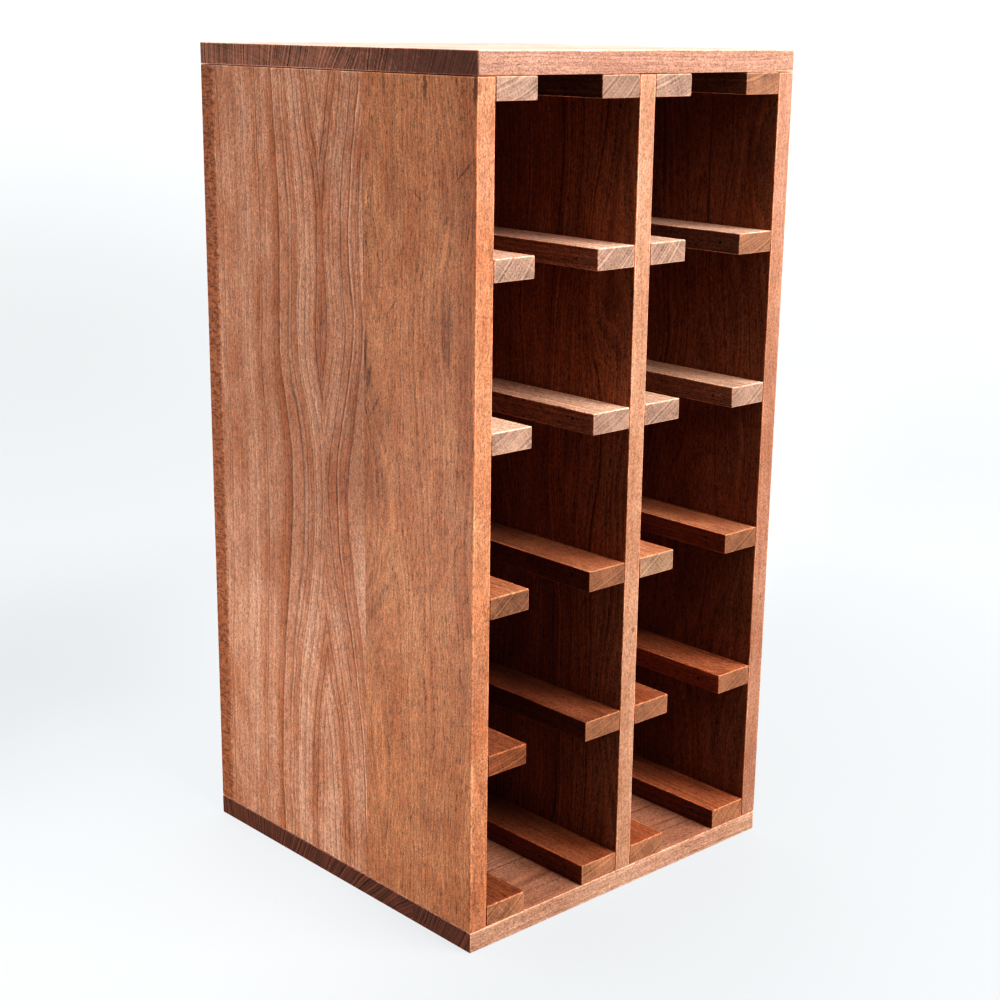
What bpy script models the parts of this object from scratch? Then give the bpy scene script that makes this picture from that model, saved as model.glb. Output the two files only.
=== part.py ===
"""Hardwood wine rack for ten bottles, two bays of five.

A top and a bottom board hold three uprights between them. Rails run from front to back
on both walls of each bay, and a bottle lies in the gap between two rails. A thin back
panel closes the rear, and hidden dowels hold the boards to the uprights.

Metres, +Z up. The origin is the centre of the base. The open front faces -Y.
"""

from math import radians

import bmesh
import bpy
from mathutils import Matrix

# Carcass
WIDTH = 0.300
DEPTH = 0.300
HEIGHT = 0.600
BOARD_THICKNESS = 0.015
GLUE_GAP = 0.0003  # left between any two neighbouring pieces
EDGE_EASE = 0.0006  # sanded-off corner along each board's edges
EASED_ANGLE = radians(30)  # edges sharper than this are eased

# Back panel, let into rebates along the side panels' inner rear edges
BACK_THICKNESS = 0.006
REBATE_WIDTH = 0.0075

# Rails that the bottles lie on
RAIL_LEVELS = 6
RAIL_WIDTH = 0.035
RAIL_THICKNESS = 0.015

# Dowels between the boards and the ends of the uprights
DOWEL_RADIUS = 0.003
DOWEL_LENGTH = 0.030
DOWEL_DEPTH_IN_BOARD = 0.010
DOWEL_SIDES = 12
DOWEL_PLACES = {"front": -0.100, "middle": 0.0, "rear": 0.100}  # along Y

# Finishes: colour (linear RGB), roughness
FINISHES = {
    "carcass_wood": ((0.46, 0.19, 0.085), 0.45),
    "rail_wood": ((0.50, 0.23, 0.115), 0.50),
    "back_wood": ((0.36, 0.15, 0.07), 0.55),
    "dowel_wood": ((0.62, 0.43, 0.25), 0.60),
}

FRONT = -DEPTH / 2
REAR = DEPTH / 2
BACK_FACE = REAR - BACK_THICKNESS - GLUE_GAP  # where the divider and rails end
INNER_HALF_WIDTH = WIDTH / 2 - BOARD_THICKNESS
UPRIGHT_BASE = BOARD_THICKNESS + GLUE_GAP
UPRIGHT_HEIGHT = HEIGHT - 2 * UPRIGHT_BASE
RAIL_PITCH = (UPRIGHT_HEIGHT - RAIL_THICKNESS) / (RAIL_LEVELS - 1)
RAIL_LENGTH = BACK_FACE - FRONT
UPRIGHT_CENTRES = {
    "left": -(INNER_HALF_WIDTH + BOARD_THICKNESS / 2),
    "centre": 0.0,
    "right": INNER_HALF_WIDTH + BOARD_THICKNESS / 2,
}


def clear_scene():
    """Remove every object that the open file holds."""
    for item in list(bpy.data.objects):
        bpy.data.objects.remove(item)


def make_finish(name):
    """Plain Principled BSDF material from the FINISHES table."""
    colour, roughness = FINISHES[name]
    material = bpy.data.materials.new(name)
    material.use_nodes = True
    shader = material.node_tree.nodes["Principled BSDF"]
    shader.inputs["Base Color"].default_value = (*colour, 1.0)
    shader.inputs["Roughness"].default_value = roughness
    shader.inputs["Metallic"].default_value = 0.0
    return material


def rectangle(x_low, x_high, y_low, y_high):
    """Counter-clockwise corners of an upright rectangle in XY."""
    return [(x_low, y_low), (x_high, y_low), (x_high, y_high), (x_low, y_high)]


def rebated_outline(side):
    """Section of a side panel centred on X = 0, with the rebate on its inner rear edge.

    side is -1 for the left panel and 1 for the right one.
    """
    half = BOARD_THICKNESS / 2
    step = half - REBATE_WIDTH
    outline = [
        (-half, FRONT),
        (half, FRONT),
        (half, BACK_FACE),
        (step, BACK_FACE),
        (step, REAR),
        (-half, REAR),
    ]
    if side > 0:
        outline = [(-x, y) for x, y in reversed(outline)]
    return outline


def prism_mesh(name, outline, height):
    """Closed prism over a counter-clockwise XY outline, from Z = 0 to the height."""
    shape = bmesh.new()
    lower = [shape.verts.new((x, y, 0.0)) for x, y in outline]
    upper = [shape.verts.new((x, y, height)) for x, y in outline]
    shape.faces.new(reversed(lower))
    shape.faces.new(upper)
    for index in range(len(outline)):
        following = (index + 1) % len(outline)
        shape.faces.new((lower[index], lower[following], upper[following], upper[index]))
    mesh = bpy.data.meshes.new(name)
    shape.to_mesh(mesh)
    shape.free()
    return mesh


def cylinders_mesh(name, radius, height, places):
    """One closed upright cylinder for each (x, y, z) place, which is its centre."""
    shape = bmesh.new()
    for place in places:
        bmesh.ops.create_cone(
            shape,
            cap_ends=True,
            segments=DOWEL_SIDES,
            radius1=radius,
            radius2=radius,
            depth=height,
            matrix=Matrix.Translation(place),
        )
    mesh = bpy.data.meshes.new(name)
    shape.to_mesh(mesh)
    shape.free()
    return mesh


def add_object(name, mesh, finish, location):
    """Link a mesh as a named object, held by the rack's empty."""
    piece = bpy.data.objects.new(name, mesh)
    piece.location = location
    piece.parent = bpy.data.objects["wine_rack"]
    if finish is not None and not mesh.materials:
        mesh.materials.append(finish)
    bpy.context.scene.collection.objects.link(piece)
    return piece


def add_board(name, mesh, finish, location):
    """Link a board whose edges are eased by a narrow bevel."""
    board = add_object(name, mesh, finish, location)
    ease = board.modifiers.new("eased edges", "BEVEL")
    ease.width = EDGE_EASE
    ease.segments = 1
    ease.limit_method = "ANGLE"
    ease.angle_limit = EASED_ANGLE
    return board


def add_end_boards(finish):
    """Top and bottom boards, over and under the uprights."""
    outline = rectangle(-WIDTH / 2, WIDTH / 2, FRONT, REAR)
    mesh = prism_mesh("end_board", outline, BOARD_THICKNESS)
    bottom = add_board("bottom_board", mesh, finish, (0.0, 0.0, 0.0))
    top = add_board("top_board", mesh, finish, (0.0, 0.0, HEIGHT - BOARD_THICKNESS))
    return {"bottom": bottom, "top": top}


def add_uprights(finish):
    """Side panels and centre divider, between the end boards."""
    half = BOARD_THICKNESS / 2
    shapes = {
        "left": ("left_side_panel", rebated_outline(-1)),
        "centre": ("centre_divider", rectangle(-half, half, FRONT, BACK_FACE)),
        "right": ("right_side_panel", rebated_outline(1)),
    }
    uprights = {}
    for place, (name, outline) in shapes.items():
        mesh = prism_mesh(name, outline, UPRIGHT_HEIGHT)
        location = (UPRIGHT_CENTRES[place], 0.0, UPRIGHT_BASE)
        uprights[place] = add_board(name, mesh, finish, location)
    return uprights


def add_back_panel(finish):
    """Thin panel that fills the rebates, flush with the rear edges."""
    reach = INNER_HALF_WIDTH + REBATE_WIDTH - GLUE_GAP
    outline = rectangle(-reach, reach, REAR - BACK_THICKNESS, REAR)
    mesh = prism_mesh("back_panel", outline, UPRIGHT_HEIGHT)
    add_board("back_panel", mesh, finish, (0.0, 0.0, UPRIGHT_BASE))


def add_rails(finish):
    """Four rails at each level: one on each wall of the two bays."""
    outline = rectangle(0.0, RAIL_WIDTH, FRONT, FRONT + RAIL_LENGTH)
    mesh = prism_mesh("rail", outline, RAIL_THICKNESS)
    divider_face = BOARD_THICKNESS / 2
    left_edges = {
        "left_bay_rail_{}_left": -INNER_HALF_WIDTH + GLUE_GAP,
        "left_bay_rail_{}_right": -divider_face - GLUE_GAP - RAIL_WIDTH,
        "right_bay_rail_{}_left": divider_face + GLUE_GAP,
        "right_bay_rail_{}_right": INNER_HALF_WIDTH - GLUE_GAP - RAIL_WIDTH,
    }
    for level in range(RAIL_LEVELS):
        height = UPRIGHT_BASE + level * RAIL_PITCH
        for name, left_edge in left_edges.items():
            add_board(name.format(level + 1), mesh, finish, (left_edge, 0.0, height))


def bore_dowel_holes(piece, cutter):
    """Cut the dowel holes of one joint into one of its two pieces."""
    bore = piece.modifiers.new(cutter.name, "BOOLEAN")
    bore.operation = "DIFFERENCE"
    bore.object = cutter


def add_dowels(end_boards, uprights, finish):
    """Dowels at both ends of each upright, with their holes in both pieces."""
    into_upright = DOWEL_LENGTH / 2 - DOWEL_DEPTH_IN_BOARD
    centre_heights = {
        "bottom": BOARD_THICKNESS + into_upright,
        "top": HEIGHT - BOARD_THICKNESS - into_upright,
    }
    dowel = cylinders_mesh("dowel", DOWEL_RADIUS, DOWEL_LENGTH, [(0.0, 0.0, 0.0)])
    dowel.shade_smooth()
    dowel.set_sharp_from_angle(angle=EASED_ANGLE)
    for end, centre_height in centre_heights.items():
        for place, upright in uprights.items():
            centres = {
                row: (UPRIGHT_CENTRES[place], y, centre_height)
                for row, y in DOWEL_PLACES.items()
            }
            holes = cylinders_mesh(
                f"{end}_{place}_dowel_holes",
                DOWEL_RADIUS + GLUE_GAP,
                DOWEL_LENGTH + 2 * GLUE_GAP,
                centres.values(),
            )
            cutter = add_object(holes.name, holes, None, (0.0, 0.0, 0.0))
            cutter.hide_render = True
            cutter.display_type = "WIRE"
            bore_dowel_holes(end_boards[end], cutter)
            bore_dowel_holes(upright, cutter)
            for row, centre in centres.items():
                add_object(f"{end}_{place}_dowel_{row}", dowel, finish, centre)


def main():
    clear_scene()
    finishes = {name: make_finish(name) for name in FINISHES}
    rack = bpy.data.objects.new("wine_rack", None)
    bpy.context.scene.collection.objects.link(rack)
    end_boards = add_end_boards(finishes["carcass_wood"])
    uprights = add_uprights(finishes["carcass_wood"])
    add_back_panel(finishes["back_wood"])
    add_rails(finishes["rail_wood"])
    add_dowels(end_boards, uprights, finishes["dowel_wood"])


main()
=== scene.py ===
"""Looks of the wine rack: oiled hardwood boards and rails, nails and dowels, on a pale floor."""

import random
from math import cos, pi, radians, sin

import bmesh
import bpy
from mathutils import Euler, Matrix, Vector


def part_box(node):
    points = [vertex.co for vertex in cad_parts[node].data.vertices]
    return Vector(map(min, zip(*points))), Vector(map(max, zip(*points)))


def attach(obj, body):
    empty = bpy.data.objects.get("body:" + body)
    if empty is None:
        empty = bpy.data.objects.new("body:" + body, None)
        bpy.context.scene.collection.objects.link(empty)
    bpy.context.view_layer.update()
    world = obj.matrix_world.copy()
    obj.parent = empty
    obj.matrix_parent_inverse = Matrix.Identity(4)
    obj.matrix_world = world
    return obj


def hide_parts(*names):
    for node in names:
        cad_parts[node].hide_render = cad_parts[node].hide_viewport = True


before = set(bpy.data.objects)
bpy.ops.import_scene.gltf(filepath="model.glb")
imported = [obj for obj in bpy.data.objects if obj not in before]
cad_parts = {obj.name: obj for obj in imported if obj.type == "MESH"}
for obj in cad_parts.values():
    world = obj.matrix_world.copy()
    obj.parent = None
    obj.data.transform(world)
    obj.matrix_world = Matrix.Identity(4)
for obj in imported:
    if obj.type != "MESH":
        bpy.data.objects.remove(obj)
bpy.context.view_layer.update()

# Camera
CAMERA_PLACE = (-0.87615, -0.96545, 0.61586)
CAMERA_AZIMUTH = radians(-42.558)
CAMERA_DROP = radians(15.058)
CAMERA_ROLL = radians(0.732)
CAMERA_LENS = 63.84
CAMERA_REACH = 50.0

# Shapes, metres
EASED_RADIUS = 0.0008  # rounding of every sanded edge
EASED_STEPS = 3
EASED_PROFILE = 0.5
FLAT_ENOUGH = 0.9999  # largest part of a flat face's normal, at least
SHARP_ANGLE = radians(40)
DOWEL_CLEARANCE = 0.0003
BORE_SIDES = 24
NAIL_CLEARANCE = 0.0001
NAIL_HEAD_RADIUS = 0.0012
NAIL_RIM_RADIUS = 0.00096
NAIL_DIMPLE_RADIUS = 0.00054
NAIL_DIMPLE = 0.0002
NAIL_HEAD_THICKNESS = 0.0007
NAIL_NECK = 0.00105  # where the shank starts, below the top of the head
NAIL_SHANK_RADIUS = 0.00065
NAIL_POINT_LENGTH = 0.002
NAIL_POINT_RADIUS = 0.0000975
NAIL_SIDES = 12
NAIL_SUNK = 0.0012  # head below the face of the wood
RAIL_NAIL_LENGTH = 0.040
RAIL_NAIL_FROM_END = 0.020
RAIL_NAIL_WANDER = 0.003  # hand-driven, so no two are quite in line
BACK_NAIL_LENGTH = 0.016
BACK_NAIL_ROWS = 6
BACK_NAIL_FROM_END = 0.030
# Where the widths of a glued-up board meet, along Y
GLUE_LINES = {
    "top_board": (-0.035,),
    "bottom_board": (-0.089,),
    "left_side_panel": (-0.0375,),
    "right_side_panel": (-0.1225, 0.020),
    "centre_divider": (0.030,),
}

# Board space: millimetres from a board's centre, with the fibres along Z
MILLIMETRE = 0.001
GRAIN_TURNS = {"X": (0.0, radians(90), 0.0), "Y": (radians(-90), 0.0, 0.0), "Z": (0.0, 0.0, 0.0)}
AXES = {"X": (1.0, 0.0, 0.0), "Y": (0.0, 1.0, 0.0), "Z": (0.0, 0.0, 1.0)}

# Wood colours, linear: pale wood, deep wood, sawn end
TAN = ((0.57, 0.315, 0.200), (0.360, 0.128, 0.051), (0.20, 0.095, 0.060))
ORANGE = ((0.48, 0.222, 0.107), (0.355, 0.128, 0.052), (0.20, 0.095, 0.060))
BROWN = ((0.48, 0.235, 0.135), (0.37, 0.155, 0.078), (0.20, 0.095, 0.060))
TOP_PINK = ((0.385, 0.222, 0.160), (0.296, 0.145, 0.097), (0.235, 0.104, 0.064))
BOTTOM_PINK = ((0.485, 0.308, 0.223), (0.388, 0.211, 0.141), (0.108, 0.033, 0.015))
PALE_RAIL = ((0.60, 0.390, 0.285), (0.51, 0.295, 0.195), (0.312, 0.203, 0.153))
DEEP_RAIL = ((0.40, 0.165, 0.085), (0.29, 0.100, 0.045), (0.27, 0.133, 0.075))
BACK = ((0.38, 0.175, 0.100), (0.28, 0.115, 0.060), (0.20, 0.10, 0.070))
BEECH = ((0.66, 0.46, 0.28), (0.55, 0.36, 0.20), (0.50, 0.33, 0.19))
WHITE = (1.0, 1.0, 1.0, 1.0)
NO_TINT = (1.0, 1.0, 1.0)
VEIN_COLOUR = (0.075, 0.020, 0.008, 1.0)
BRUISE_COLOUR = (0.16, 0.065, 0.045, 1.0)
STRIP_COLOURS = {
    "top_board": (TOP_PINK, TOP_PINK),
    "bottom_board": (BOTTOM_PINK, BOTTOM_PINK),
    "left_side_panel": (ORANGE, TAN),
    "right_side_panel": (BROWN, BROWN, ORANGE),
    "centre_divider": (BROWN, BROWN),
    "back_panel": (BACK,),
}
FIGURED_STRIP = ("left_side_panel", 1)
# Red, green and blue of a board's wide faces and of its narrow faces, against its colours.
# They paint light and shade by face: the top board's top face is paler where light falls,
# the narrow front edges are whiter for a painted highlight, and the wide faces of the divider
# and the right panel are darker for the painted shade of their inner faces.
PAINTED_LIGHT_TINTS = {
    "top_board": ((1.38, 1.68, 1.90), (1.0, 1.0, 1.0)),
    "bottom_board": ((0.86, 0.77, 0.73), (1.0, 1.0, 1.0)),
    "left_side_panel": ((0.90, 0.91, 0.935), (1.04, 1.17, 1.43)),
    "right_side_panel": ((0.77, 0.73, 0.72), (0.82, 0.93, 1.12)),
    "centre_divider": ((0.93, 0.90, 0.90), (0.97, 1.19, 1.43)),
}
# Broad darker parts of a board's wide faces: middle and half sizes, metres; tint in the middle
SHADINGS = {
    "left_side_panel": (
        ((-0.15, 0.050, 0.335), (1.0, 0.150, 0.200), (0.80, 0.75, 0.70)),
        ((-0.15, -0.033, 0.345), (1.0, 0.026, 0.100), (0.81, 0.72, 0.63)),
        ((-0.15, -0.150, 0.420), (1.0, 0.030, 0.260), (0.84, 0.73, 0.64)),
    ),
}
# Tints of the rails, by bay and by level from the bottom. The top tints are painted light,
# paler on the upper rails where more light reaches the tops; the side tints are painted shade
# on the long sides between the walls.
RAIL_TOP_PAINTED_LIGHT = {
    "left": (0.79, 0.80, 1.28, 1.24, 1.17, 1.0),
    "right": (0.99, 1.04, 1.46, 1.02, 1.18, 1.0),
}
# Whiter tops of the upper rails: a painted highlight
RAIL_TOP_PAINTED_HIGHLIGHT = {3: (1.0, 1.19, 1.34), 4: (1.0, 1.08, 1.14), 5: (1.0, 1.05, 1.12)}
RAIL_SIDE_PAINTED_SHADE = {
    "left": (0.70, 0.46, 0.57, 0.80, 0.76, 0.38),
    "right": (0.58, 1.05, 0.92, 0.70, 0.50, 0.50),
}
# Redder long sides of the rails: the colour of their painted shade
RAIL_SIDE_SHADE_HUE = (1.0, 0.80, 0.73)
RAIL_END_TINTS = (1.20, 0.98, 0.79, 1.02, 1.00, 0.92)
PALE_RAIL_LEVELS = 3  # rails up to this level are of the deeper wood
RUDDY_END = (0.80, 0.63, 0.50)
DULL_END = (0.84, 0.82, 0.80)
CREAM_END = (1.25, 1.60, 1.90)
END_HUES = {
    "left_bay_rail_2_left": RUDDY_END,
    "left_bay_rail_6_right": DULL_END,
    "right_bay_rail_1_right": DULL_END,
    "right_bay_rail_3_left": CREAM_END,
    "right_bay_rail_5_right": RUDDY_END,
    "right_bay_rail_6_right": RUDDY_END,
}
RAIL_TINT_RANGE = (0.92, 1.08)

# How strongly each part of the grain shows: growth lines, pores and dashes, blotches and
# tone bands, on wide faces; and the share of the first two left on narrow faces
STRAIGHT = {"Veins": 1.0, "Pores": 1.1, "Blotches": 0.9, "Bands": 1.0, "Narrow": 0.05}
SMOOTH = {"Veins": 0.06, "Pores": 0.95, "Blotches": 0.75, "Bands": 0.0, "Narrow": 0.6}
FIGURED = {"Veins": 0.15, "Pores": 0.65, "Blotches": 0.5, "Bands": 0.7, "Narrow": 0.3}
LEVEL = {"Veins": 0.75, "Pores": 0.55, "Blotches": 0.7, "Bands": 0.5, "Narrow": 1.0}
PLAIN = {"Veins": 0.45, "Pores": 0.95, "Blotches": 0.9, "Bands": 0.5, "Narrow": 1.0}
STRIP_GRAINS = {
    "top_board": (LEVEL, LEVEL),
    "bottom_board": (LEVEL, LEVEL),
    "left_side_panel": (SMOOTH, FIGURED),
    "right_side_panel": (STRAIGHT, STRAIGHT, STRAIGHT),
    "centre_divider": (STRAIGHT, STRAIGHT),
    "back_panel": (STRAIGHT,),
}
# The tree's centre from the board's centre, across the grain, in millimetres
PITHS = {
    "top_board": (0.0, 70.0, -230.0),
    "bottom_board": (0.0, 60.0, -150.0),
    "right_side_panel": (70.0, -34.0, 0.0),
    "centre_divider": (80.0, -120.0, 0.0),
}
RING_WIDTHS = {"top_board": 2.2, "bottom_board": 3.5}
WANDERS = {"top_board": 14.0, "bottom_board": 20.0}
RAY_SHARES = {"bottom_board": 1.1}
BOARD_RING_WIDTH = 8.0
BOARD_WANDER = 50.0  # millimetres the rings drift from true circles
RAIL_RING_WIDTH = 3.5
RAIL_WANDER = 9.0
BOARD_RAY_SHARE = 0.8  # how far rays, rather than rings, show on a sawn end
RAIL_RAY_SHARE = 0.1
RAIL_PITH_DISTANCES = (110.0, 240.0)
RAIL_STREAK_ANGLES = (radians(12), radians(55))  # of the end grain, from level

# Figure of the left panel's rear board, in millimetres. Its lines fold about an upright
# axis, and stand further from the axis by a push that changes with height.
FIGURE_AXIS = 8.5
FIGURE_HEIGHT = 600.0
FIGURE_PUSH_RANGE = 30.0
# Height and push
FIGURE_REAR_PUSHES = (
    *((0, 15), (100, 12), (160, 4), (200, -4), (250, -12), (300, -15), (345, -9)),
    *((375, -1), (400, 2), (430, 1), (460, 0), (510, 2), (550, 10), (600, 20)),
)
FIGURE_FRONT_PUSHES = (
    *((0, 28), (100, 22), (160, 10), (200, 0), (250, -10), (300, -14), (345, -8)),
    *((380, 0), (415, 5), (440, 3), (470, 1), (510, 3), (550, 10), (600, 20)),
)
# Distance from the fold, rear of it negative; half width; darkness. Tone falls towards each
# line from one side and starts pale again on the other.
FIGURE_LINES = (
    (-118.0, 1.0, 0.5),
    (-97.0, 0.7, 0.3),
    (-88.0, 0.8, 0.5),
    (-72.0, 0.9, 0.7),
    (-66.0, 0.7, 0.3),
    (-49.0, 1.1, 0.9),
    (-38.0, 1.3, 1.0),
    (-33.0, 0.7, 0.4),
    (-27.0, 0.8, 0.6),
    (-17.0, 1.0, 0.8),
    (-11.0, 0.6, 0.3),
    (-4.5, 1.1, 1.0),
    (0.8, 0.9, 0.9),
    (8.0, 0.8, 0.5),
    (14.0, 0.7, 0.4),
    (20.0, 1.1, 0.9),
    (29.0, 1.1, 0.9),
    (33.0, 0.6, 0.4),
    (40.0, 1.1, 0.8),
)
FIGURE_NEAR, FIGURE_FAR = -150.0, 60.0
FIGURE_FADE = (150.0, 330.0, 0.85, 1.0)  # the lines are a little fainter below
FIGURE_FROM_PITH = 500.0
FIGURE_DRIFT = ((0.02, 0.02, 0.009), 1.0)  # frequencies and detail
FIGURE_DRIFT_WIDTH = 7.0
FIGURE_WAVER = ((0.08, 0.08, 0.022), 3.0)
FIGURE_WAVER_WIDTH = 5.5
FIGURE_FUZZ = ((0.6, 0.6, 0.20), 2.0, 0.7)
FIGURE_FUZZ_WIDTH = 1.6
FIGURE_STRAIGHTENING = (15.0, 75.0, 1.0, 0.25)  # of the pushes, away from the fold
FIGURE_BREAKS = ((0.12, 0.12, 0.015), 2.0)  # where the lines weaken
FIGURE_BREAK_RAMP = (0.25, 0.60, 0.35, 1.0)
BAND_LENGTH = 9.0  # over which the tone falls towards a line
BAND_RISE = 0.5
BAND_DROP = 0.45
BAND_STEP = 0.002
# Rough rear strip of the same board
ROUGH_DEPTH = 15.0
ROUGH_SWAY = 9.0
ROUGH_EDGE = (0.22, 3.0, 0.7)
ROUGH_EDGE_BLUR = 2.0

# Patterns of the wood: noise frequencies along the three axes of board space, detail, roughness
FIBRES = ((1.2, 1.2, 0.05), 2.0, 0.6)
SPECKLE = ((0.75, 0.75, 0.26), 2.0, 0.75)
PORES = ((1.15, 1.15, 0.17), 1.0)
MOTTLE = ((0.045, 0.045, 0.018), 5.0, 0.66)
CLOUD = ((0.016, 0.016, 0.011), 3.0, 0.6)
BRUISES = ((0.022, 0.022, 0.017), 4.0)
BRUISE_OFFSET = (310.0, 0.0, 0.0)
GRIT = ((0.90, 0.90, 0.70), 2.0, 0.75)
VEIN_PATCHES = ((0.05, 0.05, 0.008), 2.0)
ROUGH_RIPPLES = ((0.16, 0.16, 0.55), 2.0, 0.7)
RING_DRIFT = ((0.014, 0.014, 0.0040), 1.0)
RING_WAVER = ((0.06, 0.06, 0.012),)
RING_WAVER_SHARE = 0.12  # of the ring drift
# The same across the growth rings, or around them
RING_UNEVENNESS = (0.035, 1.0)
HAIRLINES = (0.55, 2.0, 0.6)
TONE_BANDS = (0.055, 2.0)
END_ARCS = (0.55, 2.0)
END_RAYS = (0.60, 3.0)
# Where each pattern starts to show and where it shows in full
PORE_RAMP = (0.56, 0.70)
BRUISE_RAMP = (0.54, 0.70)
PATCH_RAMP = (0.34, 0.60)
LATE_WOOD_RAMP = (0.70, 0.95)  # along a growth ring's width
RING_STRENGTH_RAMP = (0.25, 1.0)
TONE_RAMP = (0.25, 0.75)
ROUGH_RIPPLE_RAMP = (0.46, 0.62)
END_RAMP = (0.60, 0.90)  # how squarely a face cuts the fibres
WIDE_RAMP = (0.4, 0.9)  # how squarely it lies across the board's thickness
MARK_RAMP = (0.35, 1.1)
SHADING_RAMP = (0.2, 1.0, 1.0, 0.0)
WORN_AND_HIGHLIT_RAMP = (0.3, 1.2, 1.0, 0.0)  # millimetres from an edge
# How far each pattern takes part
RING_FUZZ = 2.2  # millimetres
RING_UNEVENNESS_WIDTH = 5.0
GRIT_IN_LINES = (2.0, 0.95)
TONE_SWAYS = {"mottle": 1.0, "cloud": 0.5, "bands": 0.6, "figure": 0.34, "rough": 0.25}
MIXES = {"bruise": 0.22, "late wood": 0.72, "ripple": 0.6, "mark": 0.8}
SHADE_SWAYS = {"hairlines": 0.65, "fibres": 0.65, "speckle": 0.95, "grit": 1.80, "pores": -0.32}
SHADE_WITHOUT_PORES = 0.35
BANDS_IN_HAIRLINES = 0.4
DARKEST_SHADE = 0.15
ARC_SWAY, ARC_SWAY_BY_SHARE, ARC_FUZZ = 1.25, -0.9, 0.9
RAY_SWAY, RAY_SWAY_BY_SHARE, RAY_FUZZ = 0.10, 3.8, 1.6
END_SWAYS = {"grit": 1.40, "mottle": 1.50}
# Paler edges: sanding wear together with a painted highlight along each arris
WORN_AND_HIGHLIT_SWAY = 1.4
WORN_AND_HIGHLIT_GAIN = 0.55
ROUGHNESS = 0.50
ROUGHNESS_SWAYS = {"mottle": 0.14, "pores": 0.14, "end": 0.12}
RELIEF = {"fibres": 0.5, "speckle": 0.4, "pores": -0.7, "late": -0.35, "ripple": -0.8, "mark": -0.8}
BUMP_STRENGTH = 0.5
BUMP_DISTANCE = 0.00014
WOOD_SHEEN = {
    "IOR": 1.5,
    "Specular IOR Level": 0.35,
    "Sheen Weight": 0.12,
    "Sheen Roughness": 0.4,
    "Sheen Tint": (1.0, 0.86, 0.76, 1.0),
}
MARK_RAGGEDNESS = ((600.0, 600.0, 300.0), 3.0)
MARK_RAGGED_WIDTH = 1.2
SEED_REACH = 900.0
PITH_ACROSS = (-60.0, 60.0)  # where a board's tree centre lies, if PITHS doesn't say
PITH_BELOW = (25.0, 90.0)
STEEL_STAINS = ((900.0, 900.0, 900.0), 3.0)
STEEL_COLOURS = ((0.20, 0.17, 0.15, 1.0), (0.07, 0.045, 0.035, 1.0))
STEEL_STAIN_RAMP = (0.35, 0.65)
STEEL_ROUGHNESS_RAMP = (0.3, 0.7, 0.35, 0.65)
STEEL_METALLIC = 0.85

# Dark marks: middle, half sizes, lean about X, strength. All metres but the last two.
PANEL_MARKS = (
    ((-0.15, -0.0600, 0.578), (1.0, 0.0022, 0.0110), 0.0, 0.55),
    ((-0.15, -0.1010, 0.577), (1.0, 0.0022, 0.0120), 0.0, 0.8),
    ((-0.15, -0.1485, 0.577), (0.004, 0.0030, 0.0130), 0.1, 0.9),
    ((-0.15, -0.0425, 0.384), (1.0, 0.0032, 0.0120), 0.25, 0.7),
    ((-0.15, -0.0395, 0.404), (1.0, 0.0020, 0.0200), 0.05, 0.7),
    ((-0.15, -0.0378, 0.490), (1.0, 0.0007, 0.0600), 0.0, 0.7),
    ((-0.15, -0.1225, 0.430), (1.0, 0.0070, 0.0320), 0.03, 0.45),
    ((-0.15, -0.1250, 0.412), (1.0, 0.0016, 0.0150), 0.05, 0.7),
    ((-0.15, -0.0700, 0.512), (1.0, 0.0130, 0.0240), 0.1, 0.25),
    ((-0.15, -0.1380, 0.527), (1.0, 0.0010, 0.0160), 0.85, 0.7),
    ((-0.15, -0.0940, 0.509), (1.0, 0.0008, 0.0110), -1.0, 0.6),
    ((-0.15, -0.0700, 0.438), (1.0, 0.0008, 0.0130), 0.75, 0.5),
    ((-0.15, -0.0480, 0.365), (1.0, 0.0012, 0.0150), 0.6, 0.5),
)
DIVIDER_MARKS = (((0.003, -0.15, 0.200), (0.0018, 0.003, 0.0035), 0.0, 0.6),)
RIGHT_PANEL_MARKS = (
    ((0.144, -0.15, 0.195), (0.0018, 0.003, 0.0035), 0.0, 0.5),
    ((0.135, -0.089, 0.500), (0.0100, 0.0011, 0.0800), 0.0, 0.8),
)
BOTTOM_MARKS = (((0.0, -0.0892, 0.015), (1.0, 0.0009, 0.010), 0.0, 0.7),)
TOP_MARKS = (((-0.15, -0.165, 0.590), (0.0015, 0.16, 0.08), 0.0, 0.85),)
MARKS = {
    ("top_board", 0): TOP_MARKS,
    ("top_board", 1): TOP_MARKS,
    ("left_side_panel", 0): PANEL_MARKS,
    ("centre_divider", 0): DIVIDER_MARKS,
    ("right_side_panel", 0): RIGHT_PANEL_MARKS,
    ("right_side_panel", 1): RIGHT_PANEL_MARKS,
    ("bottom_board", 0): BOTTOM_MARKS,
    ("bottom_board", 1): BOTTOM_MARKS,
}

# Studio. Each ramp has its start, its end, and its value before and after them.
FLOOR_RADIUS = 4.0
FLOOR_SIDES = 96
FLOOR_COLOURS = ((0.060, 0.061, 0.062, 1.0), (0.075, 0.076, 0.077, 1.0))
FLOOR_CLOUDS = ((1.5, 1.5, 1.5), 2.0)
FLOOR_ROUGHNESS = 0.8
FLOOR_SHINE = 0.2
FLOOR_LIGHT = (0.965, 0.985, 1.0, 1.0)
FLOOR_LIGHT_AXIS = (0.5, -1.0, 0.0)  # the floor's light changes this way, and away from the rack
FLOOR_LIGHT_START = (-0.70, -0.30, 0.440, 0.500)
FLOOR_LIGHT_DIP = (-0.12, 0.16, 0.0, 0.043)
FLOOR_LIGHT_RISE = (0.45, 1.0, 0.0, 0.045)
FLOOR_FADE = (0.7, 2.4, 1.0, 0.0)
FLOOR_GLOW = 0.55  # share of the floor's own light that falls on the rack
BACKDROP_COLOUR = (0.97, 0.985, 1.0, 1.0)
BACKDROP_LIGHT = (-0.1, 0.4, 0.0, 0.6)  # on the rack, from the rear
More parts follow.
